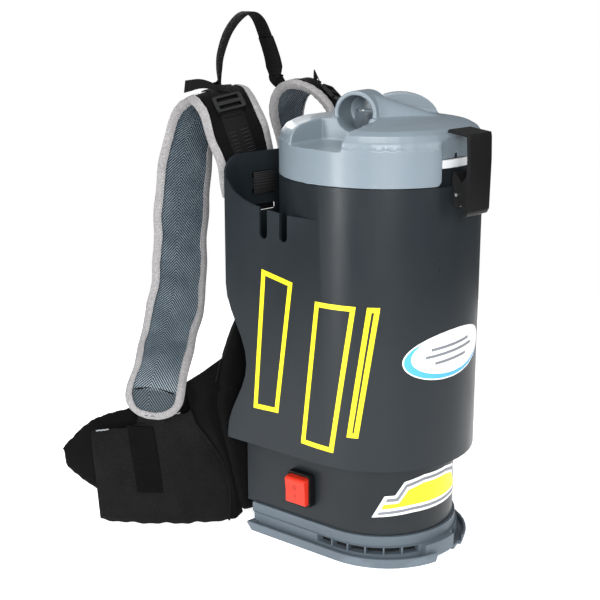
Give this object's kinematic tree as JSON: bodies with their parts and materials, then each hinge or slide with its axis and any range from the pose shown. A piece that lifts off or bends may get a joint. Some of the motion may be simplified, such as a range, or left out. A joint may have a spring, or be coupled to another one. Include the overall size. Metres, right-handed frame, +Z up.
{
  "type": "backpack vacuum cleaner",
  "caption": "Upright cylindrical backpack vacuum cleaner with a lift-off lid and hose inlet, front latch, rocker switch, vented foot, padded harness, waist belt and carry handle.",
  "frame": {"origin": "on the floor, on the axis of the round tank", "axes": "+Z up, -Y toward the tank's front and its latch, +Y toward the wearer"},
  "size_m": [0.567, 0.5071, 0.6915],
  "materials": {
    "shell": "satin charcoal moulding",
    "grey": "satin light blue-grey moulding",
    "black_plastic": "satin black moulding",
    "red_plastic": "soft red cap",
    "white_plastic": "plain white ring",
    "rubber": "matt black rubber",
    "steel": "plain steel",
    "alloy": "pressed aluminium",
    "copper": "enamelled copper winding",
    "carbon": "carbon",
    "filter_cloth": "white non-woven cloth",
    "foam": "open-cell foam",
    "fabric": "black woven polyester over foam",
    "mesh": "blue-grey spacer mesh",
    "webbing": "black woven webbing"
  },
  "bodies": {
    "machine": {"body_shell": "shell", "base_foot": "grey", "latch_bracket": "black_plastic", "switch_bezel": "black_plastic", "switch_body": "black_plastic", "strap_buckle_left": "black_plastic", "strap_buckle_right": "black_plastic", "motor_support": "black_plastic", "filter_flange": "white_plastic", "cord_gland": "rubber", "motor_seal": "rubber", "foot_pad_1": "rubber", "foot_pad_2": "rubber", "foot_pad_3": "rubber", "foot_pad_4": "rubber", "latch_pin": "steel", "motor_screw_1": "steel", "motor_screw_2": "steel", "motor_screw_3": "steel", "bearing_lower": "steel", "bearing_upper": "steel", "field_core": "steel", "motor_frame": "alloy", "fan_shroud": "alloy", "diffuser_plate": "alloy", "carbon_brush_left": "carbon", "carbon_brush_right": "carbon", "filter_sleeve": "filter_cloth", "dust_bag": "filter_cloth", "exhaust_filter": "foam", "back_pad": "fabric", "shoulder_strap_left": "mesh", "shoulder_strap_right": "mesh", "yoke_pad": "mesh", "anchor_web_left": "webbing", "anchor_web_right": "webbing"},
    "lid": {"lid": "grey", "lid_seal": "rubber"},
    "latch": {"latch": "black_plastic"},
    "rocker": {"switch_rocker": "red_plastic"},
    "rotor": {"armature_shaft": "steel", "armature_core": "copper", "commutator": "copper", "impeller": "alloy"},
    "handle": {"carry_handle": "webbing"},
    "belt_left": {"belt_pad_left": "fabric", "belt_flap_left": "fabric"},
    "belt_right": {"belt_pad_right": "fabric", "belt_flap_right": "fabric"}
  },
  "joints": [
    {"name": "lid_lift", "type": "slide", "parent": "machine", "child": "lid", "axis": [0, 0, 1], "range_m": [0, 0.14]},
    {"name": "latch_swing", "type": "hinge", "parent": "machine", "child": "latch", "pos_m": [0, -0.1405, 0.488], "axis": [1, 0, 0], "range_deg": [0, 30]},
    {"name": "rocker_press", "type": "hinge", "parent": "machine", "child": "rocker", "pos_m": [-0.11077, 0.03232, 0.083], "axis": [0.1305, -0.9914, 0], "range_deg": [-8, 0]},
    {"name": "rotor_spin", "type": "hinge", "parent": "machine", "child": "rotor", "pos_m": [0, 0, 0.08], "axis": [0, 0, 1], "continuous": true},
    {"name": "handle_flop", "type": "hinge", "parent": "machine", "child": "handle", "pos_m": [0, 0.25, 0.595], "axis": [1, 0, 0], "range_deg": [-35, 45], "stiffness_Nm_per_rad": 0.15},
    {"name": "belt_left_wrap", "type": "hinge", "parent": "machine", "child": "belt_left", "pos_m": [-0.154, 0.167, 0.0925], "axis": [0.2841, -0.082, -0.9553], "range_deg": [0, 18], "stiffness_Nm_per_rad": 3},
    {"name": "belt_right_wrap", "type": "hinge", "parent": "machine", "child": "belt_right", "pos_m": [0.154, 0.167, 0.0925], "axis": [0.2841, 0.082, 0.9553], "range_deg": [0, 18], "stiffness_Nm_per_rad": 3}
  ]
}
